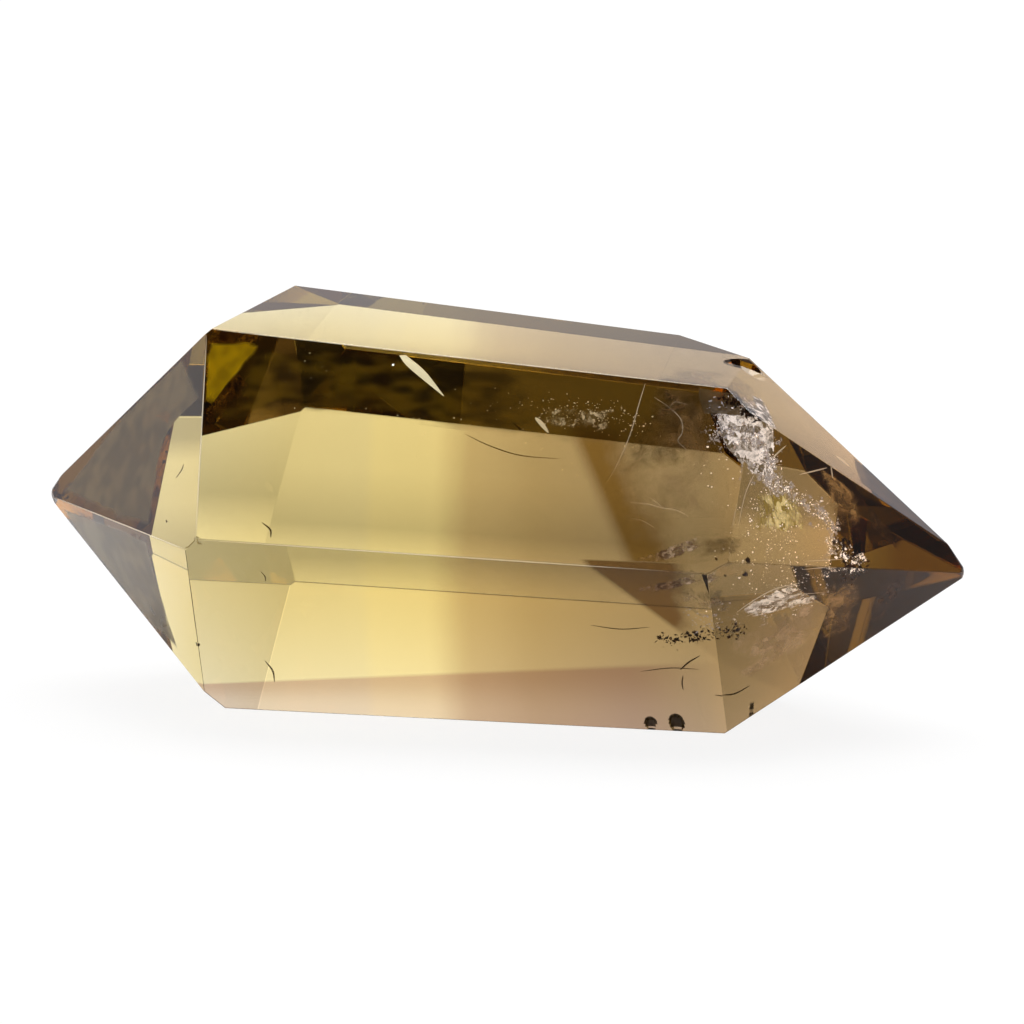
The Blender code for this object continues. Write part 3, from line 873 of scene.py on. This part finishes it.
# %% Threads, slivers and cracks
THREADS = {  # stations along the thread and its radius, mm
    "fold_long": (((9.0, -3.6, 16.9), (9.9, -4.0, 16.5), (10.6, -4.4, 16.0), (10.75, -4.7, 15.4),
        (10.6, -5.0, 15.0), (11.1, -5.2, 14.6)), 0.026),
    "fold_side": (((9.9, -4.0, 16.5), (10.2, -3.9, 16.8), (10.9, -4.0, 16.7)), 0.019),
    "fold_edge": (((8.35, -2.6, 17.3), (8.3, -3.8, 16.6), (8.1, -5.0, 15.2), (7.7, -6.0, 13.9),
        (7.3, -6.6, 13.0)), 0.026),
    "wisp_upper": (((8.2, -4.85, 11.35), (9.1, -4.8, 11.3), (9.9, -4.85, 11.15), (10.6, -4.9, 11.1),
        (11.3, -4.95, 10.8)), 0.023),
    "wisp_branch": (((9.2, -4.8, 11.65), (9.6, -4.8, 11.4), (9.9, -4.85, 11.15)), 0.019),
    "wisp_lower": (((8.3, -5.3, 10.6), (8.9, -5.3, 10.55), (9.7, -5.45, 10.2)), 0.019),
    "flare_ray": (((13.85, -6.8, 7.2), (14.6, -6.4, 7.8), (15.6, -6.0, 8.35), (16.8, -5.3, 8.6)), 0.033),
    "flare_ray_low": (((14.2, -6.3, 6.9), (15.3, -5.7, 7.3), (16.6, -4.8, 7.7)), 0.019),
    "flare_ray_end": (((15.0, -6.0, 7.7), (16.2, -5.3, 7.9), (17.9, -4.1, 7.9)), 0.019),
    "olive_ray": (((14.6, -5.7, 14.0), (14.2, -6.6, 12.9), (14.0, -7.6, 11.2)), 0.019),
    "tip_needle": (((17.0, -5.6, 9.35), (17.9, -5.0, 9.35), (18.8, -4.2, 9.3)), 0.023),
    "ridge_needle": (((16.4, -3.95, 13.5), (17.1, -3.3, 13.62), (17.6, -2.75, 13.7)), 0.039),
    "ridge_stub": (((17.75, -2.55, 13.75), (17.8, -2.6, 13.4), (17.85, -2.65, 13.1)), 0.039),
    "cross_needle": (((14.9, -4.5, 14.2), (15.3, -4.3, 14.6), (15.75, -4.0, 15.0)), 0.039),
    "top_dash": (((8.8, 2.2, 18.35), (9.6, 1.4, 18.25)), 0.033),
}
for name, (stations, radius) in THREADS.items():
    thread(name, stations, radius, "pale_thread")
rippled_sheet(
    "cream_sliver", ((-4.1, -5.24, 18.93), (-3.5, -5.59, 18.4), (-1.51, -6.22, 17.13)),
    ((-3.75, -5.22, 18.97), (-2.62, -5.63, 18.25), (-1.46, -6.21, 17.14)), "cream_bit", 0.01, 68, (30, 8))
thread("small_sliver", ((3.36, -6.25, 16.24), (3.71, -6.38, 15.97), (4.14, -6.58, 15.56)), 0.11,
       "cream_bit", sides=8)
thread("light_streak", ((17.7, -1.0, 13.85), (18.05, -0.95, 13.6), (18.4, -0.95, 13.3)), 0.16,
       "cream_bit", sides=8)
thread("dark_hair", ((-1.15, -1.9, 13.6), (0.2, -2.1, 13.1), (1.85, -2.2, 12.7), (3.9, -2.1, 12.6)), 0.03,
       "iron_speck")

DARK_CRACKS = {
    "crack_tail": (((6.66, -7.5, 6.25), (8.2, -7.3, 6.1), (9.76, -7.3, 6.3)), 0.03),
    "crack_hook": (((11.0, -5.9, 3.8), (11.5, -6.1, 4.3), (12.15, -6.3, 4.75)), 0.05),
    "crack_drop": (((11.1, -5.6, 3.5), (11.0, -5.4, 3.0), (11.0, -5.1, 2.6)), 0.04),
    "crack_low": (((8.9, -5.8, 3.6), (10.5, -5.9, 3.9), (12.0, -5.9, 3.9)), 0.03),
    "crack_arc": (((12.6, -4.9, 2.4), (13.3, -4.5, 2.4), (14.05, -4.2, 2.8)), 0.045),
    "left_scratch": (((-14.6, -8.3, 13.3), (-14.7, -8.4, 13.0), (-15.05, -8.2, 12.5)), 0.05),
    "left_arc_ridge": (((-9.9, -10.5, 10.9), (-9.4, -10.7, 10.6), (-9.3, -10.9, 10.2)), 0.05),
    "left_arc_upper": (((-10.1, -9.9, 8.5), (-9.9, -9.9, 8.2), (-9.9, -9.8, 7.9)), 0.03),
    "left_arc_foot": (((-10.8, -6.9, 3.1), (-10.5, -6.5, 2.5), (-10.5, -6.2, 1.8)), 0.05),
}
for name, (stations, radius) in DARK_CRACKS.items():
    thread(name, stations, radius, "brown_stain")
print("pieces so far:", len(PIECE_COUNT))

# %% [markdown]
# ## Dark nicks, and dulled edges with a painted highlight
#
# A dark skin lines the inner side of each nick of the foot edge. Handling dulls the
# sharpest edges to a pale line, and a painted highlight glows along it; both are made here
# as a very thin thread just inside the edge, because paint on the stone would show in all its windows.

# %% Dark nicks, and dulled edges with a painted highlight
SKIN_MARGIN = 0.02  # mm, how close to the stone's faces the skin may come
POLE_GAP = 0.02  # radians left open at each pole, so that no two points coincide


def nick_lining(name, centre, reach, gap=0.07, rows=14, columns=24):
    """Skin on the inner side of an egg-shaped nick: p = c + (reach + gap)(sin a cos b, sin a sin b, cos a),
    of which the faces that lie wholly inside the stone are kept."""
    polar = np.linspace(POLE_GAP, math.pi - POLE_GAP, rows)
    a, b = np.meshgrid(polar, np.linspace(0, 2 * math.pi, columns, endpoint=False), indexing="ij")
    way = np.stack([np.sin(a) * np.cos(b), np.sin(a) * np.sin(b), np.cos(a)], axis=-1).reshape(-1, 3)
    points = np.asarray(centre) + (np.asarray(reach) + gap) * way
    faces = grid_faces(rows, columns, wrap=True)
    kept = faces[inside_stone(points, SKIN_MARGIN)[faces].all(axis=1)]
    used = np.unique(kept)
    return inside_piece(name, points[used], np.searchsorted(used, kept), "dark_nick_skin")


nick_lining("foot_nick_dark_long", (9.2, -5.15, 0.1), (0.42, 0.5, 0.66))
nick_lining("foot_nick_dark_short", (10.55, -5.1, 0.1), (0.48, 0.54, 0.92))
rippled_sheet(
    "foot_nick_dark_end", ((13.95, -3.8, 0.6), (14.05, -4.1, 1.3), (14.2, -4.35, 2.0)),
    ((14.35, -3.7, 0.8), (14.4, -4.0, 1.4), (14.45, -4.25, 2.0)), "dark_tooth", 0.03, 51, (16, 12))

WORN_AND_HIGHLIT_EDGES = {  # ends of the edges that use has dulled, with a painted highlight, mm
    "front_ridge_wear_highlight": ((-12.9, -11.78, 10.16), (12.8, -10.2, 9.53)),
    "top_edge_wear_highlight": ((-13.9, -5.74, 19.95), (12.9, -4.88, 18.05)),
    "left_shoulder_wear_highlight": ((-13.06, -11.76, 10.25), (-14.2, -5.95, 19.7)),
    "left_tip_wear_highlight": ((-13.8, -11.4, 9.55), (-24.0, -1.15, 9.72)),
}
for name, (first, last) in WORN_AND_HIGHLIT_EDGES.items():
    thread(name, (first, np.add(first, last) / 2, last), 0.03, "worn_and_highlit_edge", sides=4, count=24)
print("dulled edges:", len(WORN_AND_HIGHLIT_EDGES))

# %% [markdown]
# ## Specks and dots
#
# Last come the smallest marks: white and cream dots, and clusters of specks that iron
# has stained. There are hundreds, so each is only an eight-sided grain, and a whole
# cluster is one piece.

# %% Specks and dots
SPECKS = {  # centres, spread, count, smallest and largest reach (mm), finish, seed
    "white_dots": (((-4.35, -5.51, 18.47),), (0.01, 0.01, 0.01), 1, (0.07, 0.09), "bright_bit", 31),
    "small_dots": (((0.4, -5.98, 16.95), (1.65, -5.8, 17.08), (-8.7, -5.7, 18.5), (-2.0, -6.8, 15.94),
        (4.5, -5.6, 13.5)), (1.6, 0.25, 1.2), 70, (0.01, 0.045), "cream_bit", 32),
    "band_sparkle": (((4.0, -5.2, 16.4), (5.8, -5.0, 16.3), (7.6, -4.9, 16.2), (8.2, -5.3, 15.6)),
        (0.7, 0.2, 0.35), 150, (0.01, 0.07), "cream_bit", 30),
    "iron_cluster": (((10.4, -5.9, 5.6), (11.2, -6.0, 5.8), (12.1, -5.9, 6.0), (13.0, -5.5, 6.3),
        (13.4, -5.6, 6.0)), (0.42, 0.2, 0.2), 170, (0.015, 0.17), "iron_speck", 33),
    "iron_spots": (((14.16, -6.9, 9.4), (14.1, -6.9, 9.3), (13.3, -7.5, 9.5)),
        (0.07, 0.05, 0.05), 7, (0.08, 0.22), "iron_speck", 34),
    "shoulder_iron": (((12.75, -4.6, 17.4), (13.4, -4.7, 17.2), (14.1, -4.9, 16.8), (14.4, -4.9, 16.5)),
        (0.2, 0.1, 0.12), 60, (0.03, 0.2), "iron_speck", 38),
    "tip_specks": (((18.6, -4.0, 10.0), (19.0, -3.9, 9.5), (19.5, -3.6, 9.1), (19.1, -3.7, 8.9)),
        (0.28, 0.15, 0.3), 90, (0.03, 0.19), "iron_speck", 35),
}
make_all(speck_crowd, SPECKS)
TIP_PATH = ((18.4, -4.1, 9.9), (19.1, -3.8, 9.3), (19.8, -3.3, 9.2))
LOW_PATH = ((12.0, -7.0, 7.6), (13.4, -6.4, 7.4), (15.0, -5.4, 7.4), (17.2, -4.4, 8.0))
flake_crowd("tip_glints", TIP_PATH, (0.35, 0.2, 0.35), 260, (0.02, 0.14), "bright_bit", 36)
flake_crowd("low_glints", LOW_PATH, (0.6, 0.3, 0.6), 420, (0.015, 0.1), "glint", 37)
LEFT_MARKS = ((-15.3, -9.0, 10.4), (-14.15, -7.7, 3.85))
speck_crowd("left_marks", LEFT_MARKS, (0.01, 0.01, 0.03), 3, (0.07, 0.13), "brown_stain", 39)
print("pieces inside the stone:", len(PIECE_COUNT), "with", sum(PIECE_COUNT.values()), "faces")
